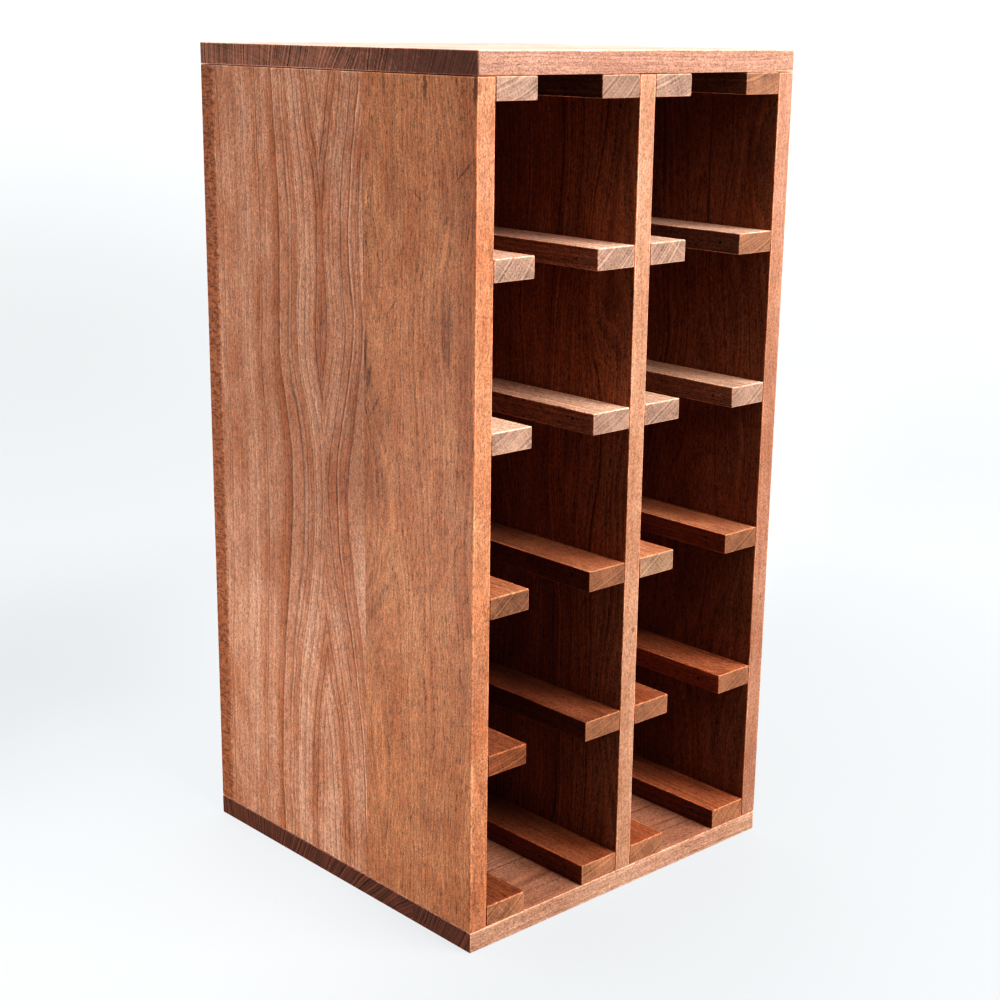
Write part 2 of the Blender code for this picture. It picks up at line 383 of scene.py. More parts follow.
BACKDROP_SEEN = (-0.17, 0.0, 0.541, 0.628)  # by the camera, from below to above
BACKDROP_SEEN_RIGHT = (0.45, 0.75, 0.0, 0.062)  # added to that, on the right
# Name, place, target, size in metres, watts
SOFTBOXES = (
    ("right_key", (0.9, -1.5, 0.95), (0.0, 0.0, 0.3), 0.7, 21.0),
    ("front_key", (0.08, -1.75, 1.45), (0.0, 0.0, 0.3), 1.0, 21.0),
    ("top_softbox", (0.0, 0.2, 2.2), (0.0, 0.2, 0.0), 2.0, 27.0),
    ("high_softbox", (0.05, -1.6, 2.5), (0.0, 0.0, 0.3), 1.3, 20.0),
)
LEFT_FILL = ("left_fill", (-0.82, 0.12, 0.02), (-0.15, -0.03, 0.15), 0.6, 7.2)
LEFT_FILL_COLOUR = (0.92, 1.05, 1.17)

FLOAT, VECTOR, COLOUR = "NodeSocketFloat", "NodeSocketVector", "NodeSocketColor"
WOOD_FLOATS = (
    *("Ring", "Ring Width", "Ray", "Ray Share", "Lines", "Tone", "Rough", "Marks", "Along Grain"),
    *("Veins", "Pores", "Blotches", "Bands"),
)
chance = random.Random(11)
REAR_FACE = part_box("left_side_panel")[1].y / MILLIMETRE


class Graph:
    """Short ways to add nodes to one node tree and join them."""

    def __init__(self, tree):
        self.tree = tree

    def feed(self, socket, value):
        if isinstance(value, bpy.types.NodeSocket):
            self.tree.links.new(value, socket)
        else:
            socket.default_value = value

    def add(self, kind, inputs, **settings):
        node = self.tree.nodes.new(kind)
        for name, value in settings.items():
            setattr(node, name, value)
        for name, value in inputs.items():
            self.feed(node.inputs[name], value)
        return node

    def math(self, operation, *values, clamp=False):
        inputs = dict(enumerate(values))
        return self.add("ShaderNodeMath", inputs, operation=operation, use_clamp=clamp).outputs[0]

    def vector(self, operation, *values, output="Vector"):
        inputs = dict(enumerate(values))
        return self.add("ShaderNodeVectorMath", inputs, operation=operation).outputs[output]

    def noise(self, place, stretch, detail=2.0, roughness=0.5, output="Fac"):
        """3-D noise; stretch holds its frequencies along the three axes."""
        stretched = self.vector("MULTIPLY", place, stretch)
        inputs = {"Vector": stretched, "Scale": 1.0, "Detail": detail, "Roughness": roughness}
        return self.add("ShaderNodeTexNoise", inputs).outputs[output]

    def noise_line(self, position, frequency, detail=1.0, roughness=0.5):
        """1-D noise along a distance."""
        inputs = {"W": position, "Scale": frequency, "Detail": detail, "Roughness": roughness}
        return self.add("ShaderNodeTexNoise", inputs, noise_dimensions="1D").outputs["Fac"]

    def ramp(self, value, low, high, to_low=0.0, to_high=1.0):
        """Smooth step from to_low at low to to_high at high."""
        inputs = {
            "Value": value,
            "From Min": low,
            "From Max": high,
            "To Min": to_low,
            "To Max": to_high,
        }
        return self.add("ShaderNodeMapRange", inputs, interpolation_type="SMOOTHSTEP").outputs[0]

    def sway(self, value, amount, base=1.0):
        """base, plus or minus half the amount as a value from 0 to 1 varies about its middle."""
        return self.math("MULTIPLY_ADD", self.math("SUBTRACT", value, 0.5), amount, base)

    def curve(self, value, places, handle="AUTO"):
        """Read a curve through the places, each (from 0 to 1, from 0 to 1)."""
        node = self.add("ShaderNodeFloatCurve", {"Value": value})
        points = node.mapping.curves[0].points
        for index, place in enumerate(places):
            if index in (0, len(places) - 1):
                point = points[0] if index == 0 else points[-1]
                point.location = place
            else:
                point = points.new(*place)
            point.handle_type = handle
        node.mapping.update()
        return node.outputs["Value"]

    def mix(self, factor, first, second):
        node = self.add("ShaderNodeMix", {"Factor": factor}, data_type="RGBA")
        self.feed(node.inputs[6], first)
        self.feed(node.inputs[7], second)
        return node.outputs[2]

    def scaled(self, colour, factor):
        node = self.add("ShaderNodeVectorMath", {0: colour, "Scale": factor}, operation="SCALE")
        return node.outputs["Vector"]

    def split(self, vector):
        return self.add("ShaderNodeSeparateXYZ", {"Vector": vector}).outputs


def new_group(name, inputs, outputs):
    """An empty node group, as its Graph, its inputs' sockets and its outputs' sockets.

    inputs and outputs hold the labels of each kind of socket.
    """
    tree = bpy.data.node_groups.new(name, "ShaderNodeTree")
    for direction, sockets in (("INPUT", inputs), ("OUTPUT", outputs)):
        for kind, labels in sockets.items():
            for label in labels:
                tree.interface.new_socket(label, in_out=direction, socket_type=kind)
    graph = Graph(tree)
    given = graph.add("NodeGroupInput", {}).outputs
    wanted = graph.add("NodeGroupOutput", {}).inputs
    return graph, given, wanted


def make_ring_group():
    """Distance from the tree's centre, and distance around it, for a point in board space."""
    g, given, wanted = new_group(
        "growth rings",
        {VECTOR: ("Place", "Pith", "Seed"), FLOAT: ("Wander", "Reach")},
        {FLOAT: ("Ring", "Ray")},
    )
    seeded = g.vector("ADD", given["Place"], given["Seed"])
    middle = (0.5, 0.5, 0.5)
    broad = g.noise(seeded, *RING_DRIFT, output="Color")
    fine = g.noise(seeded, *RING_WAVER, output="Color")
    drift = g.scaled(g.vector("SUBTRACT", broad, middle), given["Wander"])
    waver_width = g.math("MULTIPLY", given["Wander"], RING_WAVER_SHARE)
    waver = g.scaled(g.vector("SUBTRACT", fine, middle), waver_width)
    from_pith = g.vector("SUBTRACT", given["Place"], given["Pith"])
    wandering = g.vector("ADD", g.vector("ADD", from_pith, drift), waver)
    across = g.vector("MULTIPLY", wandering, (1.0, 1.0, 0.0))
    g.feed(wanted["Ring"], g.vector("LENGTH", across, output="Value"))
    around = g.split(across)
    angle = g.math("ARCTAN2", around["X"], around["Y"])
    g.feed(wanted["Ray"], g.math("MULTIPLY", angle, given["Reach"]))
    return g.tree


def make_figure_group():
    """Lines and tone of the left panel's rear board, which fold about an upright axis."""
    outputs = {FLOAT: ("Ring", "Lines", "Tone", "Rough")}
    g, given, wanted = new_group("folded figure", {VECTOR: ("World",)}, outputs)
    millimetres = g.vector("MULTIPLY", given["World"], (1 / MILLIMETRE,) * 3)
    position = g.split(millimetres)
    height = g.math("DIVIDE", position["Z"], FIGURE_HEIGHT)
    drift = g.noise(millimetres, *FIGURE_DRIFT)
    waver = g.noise(millimetres, *FIGURE_WAVER)
    fuzz = g.noise(millimetres, *FIGURE_FUZZ)
    offset = g.math("SUBTRACT", FIGURE_AXIS, position["Y"])
    offset = g.math("ADD", offset, g.sway(drift, FIGURE_DRIFT_WIDTH, 0.0))
    offset = g.math("ADD", offset, g.sway(waver, FIGURE_WAVER_WIDTH, 0.0))
    in_front = g.math("GREATER_THAN", offset, 0.0)
    pushes = []
    for profile in (FIGURE_REAR_PUSHES, FIGURE_FRONT_PUSHES):
        places = [
            (level / FIGURE_HEIGHT, 0.5 + push / FIGURE_PUSH_RANGE / 2) for level, push in profile
        ]
        pushes.append(g.curve(height, places))
    rear, front = pushes
    share = g.math("ADD", rear, g.math("MULTIPLY", in_front, g.math("SUBTRACT", front, rear)))
    push = g.math("MULTIPLY_ADD", share, 2 * FIGURE_PUSH_RANGE, -FIGURE_PUSH_RANGE)
    from_fold = g.math("ABSOLUTE", offset)
    straightness = g.ramp(from_fold, *FIGURE_STRAIGHTENING)
    distance = g.math("SUBTRACT", from_fold, g.math("MULTIPLY", push, straightness))
    side = g.math("MULTIPLY_ADD", in_front, 2.0, -1.0)
    smooth_line = g.math("MULTIPLY", distance, side)
    g.feed(wanted["Ring"], g.math("ADD", smooth_line, FIGURE_FROM_PITH))
    signed = g.math("ADD", smooth_line, g.sway(fuzz, FIGURE_FUZZ_WIDTH, 0.0))
    mask = 0.0
    for line, width, darkness in FIGURE_LINES:
        off_line = g.math("ABSOLUTE", g.math("SUBTRACT", signed, line))
        near_line = g.math("SUBTRACT", darkness, g.math("DIVIDE", off_line, width / darkness))
        mask = g.math("MAXIMUM", mask, near_line)
    strength = g.ramp(g.noise(millimetres, *FIGURE_BREAKS), *FIGURE_BREAK_RAMP)
    strength = g.math("MULTIPLY", strength, g.ramp(position["Z"], *FIGURE_FADE))
    g.feed(wanted["Lines"], g.math("MULTIPLY", mask, strength, clamp=True))

    reach = FIGURE_FAR - FIGURE_NEAR
    places = [(0.0, 0.5)]
    for line, _, darkness in FIGURE_LINES:
        start, stop = line - BAND_LENGTH * darkness, line + BAND_LENGTH * darkness
        before, after = places[-1][0], (line - FIGURE_NEAR) / reach
        if (start - FIGURE_NEAR) / reach > before:
            places.append(((start - FIGURE_NEAR) / reach, 0.5))
        places.append((after, 0.5 + BAND_RISE * darkness))
        places.append((after + BAND_STEP, 0.5 - BAND_DROP * darkness))
    places.append((1.0, 0.5))
    across = g.math("DIVIDE", g.math("SUBTRACT", signed, FIGURE_NEAR), reach)
    g.feed(wanted["Tone"], g.curve(across, places, handle="VECTOR"))

    from_rear = g.math("SUBTRACT", REAR_FACE, position["Y"])
    rough_to = g.sway(g.noise_line(position["Z"], *ROUGH_EDGE), ROUGH_SWAY, ROUGH_DEPTH)
    inside = g.math("SUBTRACT", rough_to, from_rear)
    g.feed(wanted["Rough"], g.ramp(inside, -ROUGH_EDGE_BLUR, ROUGH_EDGE_BLUR))
    return g.tree


def make_wood_group():
    """Colour, roughness and normal of oiled hardwood, for a point in board space."""
    g, given, wanted = new_group(
        "oiled hardwood",
        {
            VECTOR: ("Place", "From Middle", "Half Size", "Tint", "Seed"),
            COLOUR: ("Pale", "Deep", "Sawn End"),
            FLOAT: WOOD_FLOATS,
        },
        {COLOUR: ("Colour",), FLOAT: ("Roughness",), VECTOR: ("Normal",)},
    )
    place = g.vector("ADD", given["Place"], given["Seed"])

    # Fibres, pores and speckle run with the fibres, whatever the rings do.
    fibres = g.noise(place, *FIBRES)
    speckle = g.noise(place, *SPECKLE)
    pores = g.ramp(g.noise(place, *PORES), *PORE_RAMP)
    pores = g.math("MULTIPLY", pores, given["Pores"])
    mottle = g.noise(place, *MOTTLE)
    cloud = g.noise(place, *CLOUD)
    bruise = g.noise(g.vector("ADD", place, BRUISE_OFFSET), *BRUISES)
    grit = g.noise(place, *GRIT)

    # Each growth ring darkens outwards and stops short. Ring widths and strengths differ.
    ragged = g.math("ADD", given["Ring"], g.sway(speckle, RING_FUZZ, 0.0))
    unevenness = g.noise_line(given["Ring"], *RING_UNEVENNESS)
    per_ring = g.math("DIVIDE", ragged, given["Ring Width"])
    count = g.math("MULTIPLY_ADD", unevenness, RING_UNEVENNESS_WIDTH, per_ring)
    outward = g.math("FRACT", count)
    whim = g.add(
        "ShaderNodeTexWhiteNoise", {"W": g.math("FLOOR", count)}, noise_dimensions="1D"
    ).outputs["Value"]
    patches = g.ramp(g.noise(place, *VEIN_PATCHES), *PATCH_RAMP)
    late = g.math("MULTIPLY", g.ramp(outward, *LATE_WOOD_RAMP), g.ramp(whim, *RING_STRENGTH_RAMP))
    late = g.math("MULTIPLY", g.math("MULTIPLY", late, patches), given["Veins"])
    lines = g.math("MULTIPLY", given["Lines"], g.sway(grit, *GRIT_IN_LINES), clamp=True)
    late = g.math("MAXIMUM", late, lines)
    hairlines = g.noise_line(ragged, *HAIRLINES)
    bands = g.noise_line(given["Ring"], *TONE_BANDS)

    tone = 0.5
    for pattern, share, sway in (
        (mottle, given["Blotches"], TONE_SWAYS["mottle"]),
        (cloud, given["Blotches"], TONE_SWAYS["cloud"]),
        (bands, given["Bands"], TONE_SWAYS["bands"]),
        (given["Tone"], given["Bands"], TONE_SWAYS["figure"]),
    ):
        tone = g.sway(pattern, g.math("MULTIPLY", share, sway), tone)
    tone = g.math("MULTIPLY_ADD", given["Rough"], TONE_SWAYS["rough"], tone)
    face = g.mix(g.ramp(tone, *TONE_RAMP), given["Pale"], given["Deep"])
    bruised = g.math("MULTIPLY", g.ramp(bruise, *BRUISE_RAMP), given["Blotches"])
    face = g.mix(g.math("MULTIPLY", bruised, MIXES["bruise"]), face, BRUISE_COLOUR)

    # The rough strip is crossed by short dark ripples.
    ripples = g.noise(place, *ROUGH_RIPPLES)
    rippled = g.math("MULTIPLY", g.ramp(ripples, *ROUGH_RIPPLE_RAMP), given["Rough"])
    for dark, strength in (
        (late, MIXES["late wood"]),
        (rippled, MIXES["ripple"]),
        (given["Marks"], MIXES["mark"]),
    ):
        face = g.mix(g.math("MULTIPLY", dark, strength), face, VEIN_COLOUR)
    pored = g.math("ADD", SHADE_WITHOUT_PORES, given["Pores"])
    lined = g.math("MULTIPLY_ADD", given["Bands"], BANDS_IN_HAIRLINES, pored)
    shade = g.sway(hairlines, g.math("MULTIPLY", lined, SHADE_SWAYS["hairlines"]))
    shade = g.sway(fibres, g.math("MULTIPLY", pored, SHADE_SWAYS["fibres"]), shade)
    shade = g.sway(speckle, g.math("MULTIPLY", pored, SHADE_SWAYS["speckle"]), shade)
    shade = g.sway(grit, SHADE_SWAYS["grit"], shade)
    shade = g.math("MULTIPLY_ADD", pores, SHADE_SWAYS["pores"], shade)
    face = g.scaled(face, g.math("MAXIMUM", shade, DARKEST_SHADE))

    # Sawn ends show the rings as arcs and the rays as pale streaks across them.
    arcs = g.noise_line(g.math("ADD", given["Ring"], g.sway(grit, ARC_FUZZ, 0.0)), *END_ARCS)
    rays = g.noise_line(g.math("ADD", given["Ray"], g.sway(grit, RAY_FUZZ, 0.0)), *END_RAYS)
    arc_sway = g.math("MULTIPLY_ADD", given["Ray Share"], ARC_SWAY_BY_SHARE, ARC_SWAY)
    ray_sway = g.math("MULTIPLY_ADD", given["Ray Share"], RAY_SWAY_BY_SHARE, RAY_SWAY)
    end_shade = g.sway(rays, ray_sway, g.sway(arcs, arc_sway))
    end_shade = g.sway(grit, END_SWAYS["grit"], end_shade)
    end_shade = g.sway(mottle, END_SWAYS["mottle"], end_shade)
    end_face = g.scaled(given["Sawn End"], g.math("MAXIMUM", end_shade, DARKEST_SHADE))
    marked = g.math("MULTIPLY", given["Marks"], MIXES["mark"])
    end_face = g.mix(marked, end_face, VEIN_COLOUR)
    end = g.ramp(given["Along Grain"], *END_RAMP)
    # The tint adds the painted light and shade of each face to the wood's colour.
    colour = g.mix(end, g.vector("MULTIPLY", face, given["Tint"]), end_face)

    # Sanded edges are a little paler, and the lightening is also a painted highlight along each
    # arris. The second smallest distance to a face is the distance to the nearest edge.
    reach = g.vector("SUBTRACT", given["Half Size"], g.vector("ABSOLUTE", given["From Middle"]))
    depths = g.split(reach)
    nearer = g.math("MINIMUM", depths["X"], depths["Y"])
    farther = g.math("MAXIMUM", depths["X"], depths["Y"])
    to_edge = g.math("MAXIMUM", nearer, g.math("MINIMUM", farther, depths["Z"]))
    worn_and_highlit = g.ramp(g.sway(mottle, WORN_AND_HIGHLIT_SWAY, to_edge), *WORN_AND_HIGHLIT_RAMP)
    colour = g.scaled(colour, g.math("MULTIPLY_ADD", worn_and_highlit, WORN_AND_HIGHLIT_GAIN, 1.0))
    g.feed(wanted["Colour"], colour)

    rough = g.sway(mottle, ROUGHNESS_SWAYS["mottle"], ROUGHNESS)
    rough = g.math("MULTIPLY_ADD", pores, ROUGHNESS_SWAYS["pores"], rough)
    rough = g.math("MULTIPLY_ADD", end, ROUGHNESS_SWAYS["end"], rough)
    g.feed(wanted["Roughness"], rough)

    relief = g.math("MULTIPLY", speckle, RELIEF["speckle"])
    for pattern, height in (
        (fibres, RELIEF["fibres"]),
        (pores, RELIEF["pores"]),
        (late, RELIEF["late"]),
        (rippled, RELIEF["ripple"]),
        (given["Marks"], RELIEF["mark"]),
    ):
        relief = g.math("MULTIPLY_ADD", pattern, height, relief)
    bump_inputs = {"Strength": BUMP_STRENGTH, "Distance": BUMP_DISTANCE, "Height": relief}
    g.feed(wanted["Normal"], g.add("ShaderNodeBump", bump_inputs).outputs["Normal"])
    return g.tree


RINGS = make_ring_group()
FIGURE = make_figure_group()
WOOD = make_wood_group()


def new_material(name):
    """A material's Graph and its Principled BSDF."""
    material = bpy.data.materials.new(name)
    material.use_nodes = True
    return Graph(material.node_tree), material.node_tree.nodes["Principled BSDF"], material


def add_marks(g, world, marks):
    """How strongly the nearest of a board's dark marks shows."""
    shown = 0.0
    if not marks:
        return shown
    ragged = g.sway(g.noise(world, *MARK_RAGGEDNESS), MARK_RAGGED_WIDTH, 0.0)
    for middle, half_sizes, lean, strength in marks:
        inputs = {
            "Vector": world,
            "Location": middle,
            "Rotation": (lean, 0.0, 0.0),
            "Scale": half_sizes,
        }
        about = g.add("ShaderNodeMapping", inputs, vector_type="TEXTURE").outputs["Vector"]
        away = g.math("ADD", g.vector("LENGTH", about, output="Value"), ragged)
        shown = g.math("MAXIMUM", shown, g.ramp(away, *MARK_RAMP, strength, 0.0))
    return shown


def add_shadings(g, world, wide, tint, shadings):
    """A board's tint, darkened towards the middle of each darker part of its wide faces."""
    for middle, half_sizes, dark_tint in shadings:
        inputs = {"Vector": world, "Location": middle, "Scale": half_sizes}
        about = g.add("ShaderNodeMapping", inputs, vector_type="TEXTURE").outputs["Vector"]
        away = g.vector("LENGTH", about, output="Value")
        shown = g.math("MULTIPLY", g.ramp(away, *SHADING_RAMP), wide)
        shade = g.mix(shown, WHITE, (*dark_tint, 1.0))
        tint = g.vector("MULTIPLY", tint, shade)
    return tint


def wood(name, low, high, grain, colours, character=PLAIN, tone_and_light_tints=None, pith=None, **options):
    """Hardwood for the board between two corners, with its fibres along a world axis.

    character says how strongly each part of the grain shows. The tints of the board's wide and
    narrow faces paint light and shade by face, over any tone of the board. pith is the tree's
    centre from the board's, in millimetres.
    """
    g, shader, material = new_material(name)
    pale, deep, sawn = [(*colour, 1.0) for colour in colours]
    seed = tuple(chance.uniform(-SEED_REACH, SEED_REACH) for _ in range(3))
    turn = Euler(GRAIN_TURNS[grain]).to_matrix().inverted()
    if pith is None:
        across, below = chance.uniform(*PITH_ACROSS), chance.uniform(*PITH_BELOW)
        pith = turn.inverted() @ Vector((across, below, 0.0))
    world = g.add("ShaderNodeTexCoord", {}).outputs["Object"]
    board_low, board_high = options.get("board", (low, high))
    places = []
    for middle in ((low + high) / 2, (board_low + board_high) / 2):
        mapping_inputs = {
            "Vector": world,
            "Location": middle,
            "Rotation": GRAIN_TURNS[grain],
            "Scale": (MILLIMETRE,) * 3,
        }
        mapping = g.add("ShaderNodeMapping", mapping_inputs, vector_type="TEXTURE")
        places.append(mapping.outputs["Vector"])
    place, from_middle = places
    half_size = [abs(part) / MILLIMETRE for part in turn @ ((board_high - board_low) / 2)]
    ring_inputs = {
        "Place": place,
        "Pith": turn @ Vector(pith),
        "Seed": seed,
        "Wander": options.get("wander", BOARD_WANDER),
        "Reach": Vector(pith).length,
    }
    rings = g.add("ShaderNodeGroup", {}, node_tree=RINGS)
    for label, value in ring_inputs.items():
        g.feed(rings.inputs[label], value)
    ring, lines, tone, rough = rings.outputs["Ring"], 0.0, 0.5, 0.0
    if options.get("figured"):
        figure = g.add("ShaderNodeGroup", {}, node_tree=FIGURE)
        g.feed(figure.inputs["World"], world)
        ring, lines, tone, rough = [figure.outputs[n] for n in ("Ring", "Lines", "Tone", "Rough")]
    normal = g.add("ShaderNodeTexCoord", {}).outputs["Normal"]
    facing = g.vector("DOT_PRODUCT", normal, AXES[grain], output="Value")
    size = board_high - board_low
    thin_axis = "XYZ"[min(range(3), key=lambda axis: size[axis])]
    through = g.vector("DOT_PRODUCT", normal, AXES[thin_axis], output="Value")
    wide = g.ramp(g.math("ABSOLUTE", through), *WIDE_RAMP)
    # Tints by face: painted light and shade, with any tone of the board
    wide_tone_and_light, narrow_tone_and_light = tone_and_light_tints or (NO_TINT, NO_TINT)
    tint = g.mix(wide, (*narrow_tone_and_light, 1.0), (*wide_tone_and_light, 1.0))
    tint = add_shadings(g, world, wide, tint, options.get("shadings", ()))
    left_on_narrow = g.math("MULTIPLY_ADD", wide, 1.0 - character["Narrow"], character["Narrow"])
    grain_inputs = {
        "Place": place,
        "From Middle": from_middle,
        "Half Size": half_size,
        "Ring": ring,
        "Ring Width": options.get("ring_width", BOARD_RING_WIDTH),
        "Ray": rings.outputs["Ray"],
        "Ray Share": options.get("ray_share", BOARD_RAY_SHARE),
        "Lines": lines,
        "Tone": tone,
        "Rough": rough,
        "Marks": add_marks(g, world, options.get("marks", ())),
        "Along Grain": g.math("ABSOLUTE", facing),
        "Tint": tint,
        "Seed": seed,
        "Pale": pale,
        "Deep": deep,
        "Sawn End": sawn,
        "Veins": g.math("MULTIPLY", left_on_narrow, character["Veins"]),
        "Pores": g.math("MULTIPLY", left_on_narrow, character["Pores"]),
        "Blotches": character["Blotches"],
        "Bands": character["Bands"],
    }
    node = g.add("ShaderNodeGroup", {}, node_tree=WOOD)
    for label, value in grain_inputs.items():
        g.feed(node.inputs[label], value)
    for label, output in (("Base Color", "Colour"), ("Roughness", "Roughness"), ("Normal", "Normal")):
        g.feed(shader.inputs[label], node.outputs[output])
    for label, value in WOOD_SHEEN.items():
        g.feed(shader.inputs[label], value)
    return material


def steel(name):
    """Dull wire of a nail, dark where the oil has got at it."""
    g, shader, material = new_material(name)
    world = g.add("ShaderNodeTexCoord", {}).outputs["Object"]
    stain = g.noise(world, *STEEL_STAINS)
    colour = g.mix(g.ramp(stain, *STEEL_STAIN_RAMP), *STEEL_COLOURS)
    g.feed(shader.inputs["Base Color"], colour)
    g.feed(shader.inputs["Roughness"], g.ramp(stain, *STEEL_ROUGHNESS_RAMP))
    g.feed(shader.inputs["Metallic"], STEEL_METALLIC)
    return material


def corners_of(low, high, back_low=None):
    """Counter-clockwise XY corners of a board, with a rebate for the back if back_low is given."""
    corners = [(low.x, low.y), (high.x, low.y), (high.x, high.y), (low.x, high.y)]
    if back_low is None:
        return corners
    if low.x < 0:
        step = [(high.x, back_low.y), (back_low.x, back_low.y), (back_low.x, high.y)]
        return corners[:2] + step + corners[3:]
    step = [(back_low.x, high.y), (back_low.x, back_low.y), (low.x, back_low.y)]
    return corners[:3] + step


def rounded_solid(corners, bottom, top):
    """Upright prism over XY corners, with its outer edges rounded."""
    shape = bmesh.new()
    lower = [shape.verts.new((x, y, bottom)) for x, y in corners]
    upper = [shape.verts.new((x, y, top)) for x, y in corners]
    shape.faces.new(reversed(lower))
    shape.faces.new(upper)
    for index in range(len(corners)):
        after = (index + 1) % len(corners)
        shape.faces.new((lower[index], lower[after], upper[after], upper[index]))
    bmesh.ops.bevel(
        shape,
        geom=[edge for edge in shape.edges if edge.is_convex],
        offset=EASED_RADIUS,
        offset_type="OFFSET",
        segments=EASED_STEPS,
        profile=EASED_PROFILE,
        affect="EDGES",
        clamp_overlap=True,
    )
    return shape


def flat_unless_round(mesh):
    """Shade the faces that lie square to an axis flat, and the rounded ones smooth."""
    for face in mesh.polygons:
        face.use_smooth = max(abs(part) for part in face.normal) < FLAT_ENOUGH


def link(name, mesh):
    piece = bpy.data.objects.new(name, mesh)
    bpy.context.scene.collection.objects.link(piece)
    return piece


class Board:
    """A board or rail that stands for a CAD node, and the holes to be bored in it."""

    def __init__(self, node, grain, slot, back_low=None):
        self.low, self.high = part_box(node)
        self.node = node
        self.grain = grain
        self.slot = slot
        self.bores = []
        shape = rounded_solid(
            corners_of(self.low, self.high, back_low), self.low.z, self.high.z
        )
        glue_lines = GLUE_LINES.get(node, ())
        for line in glue_lines:
            everything = list(shape.verts) + list(shape.edges) + list(shape.faces)
            bmesh.ops.bisect_plane(
                shape, geom=everything, plane_co=(0.0, line, 0.0), plane_no=AXES["Y"]
            )
        for face in shape.faces:
            middle = face.calc_center_median().y
            face.material_index = sum(middle > line for line in glue_lines)
        mesh = bpy.data.meshes.new(f"{node}_timber")
        shape.to_mesh(mesh)
        shape.free()
        self.piece = link(f"{node}_timber", mesh)
        cuts = [self.low.y, *glue_lines, self.high.y]
        self.strips = []
        for start, end in zip(cuts, cuts[1:]):
            low, high = self.low.copy(), self.high.copy()
            low.y, high.y = start, end
            self.strips.append((low, high))

    def finish(self, materials):
        """Give the strips their woods, bore the holes and put the board on the frame."""
        for material in materials:
            self.piece.data.materials.append(material)
        if self.bores:
            bore(self.piece, self.bores)
        flat_unless_round(self.piece.data)
        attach(self.piece, "root")
        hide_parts(self.node)


def round_bar(shape, start, end, radius, sides):
    """Add a closed cylinder between two points to a bmesh."""
    turn = (end - start).to_track_quat("Z", "Y").to_matrix().to_4x4()
    bmesh.ops.create_cone(
        shape,
        cap_ends=True,
        segments=sides,
        radius1=radius,
        radius2=radius,
        depth=(end - start).length,
        matrix=Matrix.Translation((start + end) / 2) @ turn,
    )


def bore(piece, bores):
    """Cut round holes, each (start, end, radius), into a piece."""
    shape = bmesh.new()
    for start, end, radius in bores:
        round_bar(shape, start, end, radius, BORE_SIDES)
    drill_mesh = bpy.data.meshes.new("drill")
    shape.to_mesh(drill_mesh)
    shape.free()
    drill = link("drill", drill_mesh)
    cut = piece.modifiers.new("bores", "BOOLEAN")
    cut.operation = "DIFFERENCE"
    cut.solver = "EXACT"
    cut.object = drill
    bpy.context.view_layer.update()
    graph = bpy.context.evaluated_depsgraph_get()
    bored = bpy.data.meshes.new_from_object(piece.evaluated_get(graph), depsgraph=graph)
    piece.modifiers.clear()
    piece.data = bored
    bpy.data.objects.remove(drill)


def add_nail(shape, head, direction, length):
    """Add a small-headed nail, turned about its length, to a bmesh."""
    profile = (
        (NAIL_DIMPLE_RADIUS, NAIL_DIMPLE),
        (NAIL_RIM_RADIUS, 0.0),
        (NAIL_HEAD_RADIUS, NAIL_DIMPLE / 2),
        (NAIL_HEAD_RADIUS, NAIL_HEAD_THICKNESS),
        (NAIL_SHANK_RADIUS, NAIL_NECK),
        (NAIL_SHANK_RADIUS, length - NAIL_POINT_LENGTH),
        (NAIL_POINT_RADIUS, length),
    )
    turn = direction.to_track_quat("Z", "Y")
    rings = []
    for radius, along in profile:
        ring = []
        for step in range(NAIL_SIDES):
            angle = 2 * pi * step / NAIL_SIDES
            point = turn @ Vector((radius * cos(angle), radius * sin(angle), along))
            ring.append(shape.verts.new(head + point))
        rings.append(ring)
    for near, far in zip(rings, rings[1:]):
        for step in range(NAIL_SIDES):
            after = (step + 1) % NAIL_SIDES
            shape.faces.new((near[step], near[after], far[after], far[step]))
    shape.faces.new(reversed(rings[0]))
    shape.faces.new(rings[-1])


def add_nails(name, places, direction, length, boards, material):
    """One object of nails driven at the places, and their holes in the boards they hold."""
    shape = bmesh.new()
    for place in places:
        head = place + direction * NAIL_SUNK
        tip = head + direction * (length + NAIL_CLEARANCE)
        outside = place - direction * MILLIMETRE
        add_nail(shape, head, direction, length)
        for board in boards:
            board.bores.append((outside, tip, NAIL_HEAD_RADIUS + NAIL_CLEARANCE))
    mesh = bpy.data.meshes.new(name)
    shape.to_mesh(mesh)
    shape.free()
    mesh.shade_smooth()
    mesh.set_sharp_from_angle(angle=SHARP_ANGLE)
    mesh.materials.append(material)
    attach(link(name, mesh), "root")


def make_carcass():
    """The boards of the box, by CAD node."""
    back_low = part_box("back_panel")[0]
    rebate = Vector((back_low.x - DOWEL_CLEARANCE, back_low.y - DOWEL_CLEARANCE, 0.0))
    mirrored = Vector((-rebate.x, rebate.y, 0.0))
    return {
        "top_board": Board("top_board", "X", "carcass_wood"),
        "bottom_board": Board("bottom_board", "X", "carcass_wood"),
        "left_side_panel": Board("left_side_panel", "Z", "carcass_wood", rebate),
        "right_side_panel": Board("right_side_panel", "Z", "carcass_wood", mirrored),
        "centre_divider": Board("centre_divider", "Z", "carcass_wood"),
        "back_panel": Board("back_panel", "Z", "back_wood"),
    }


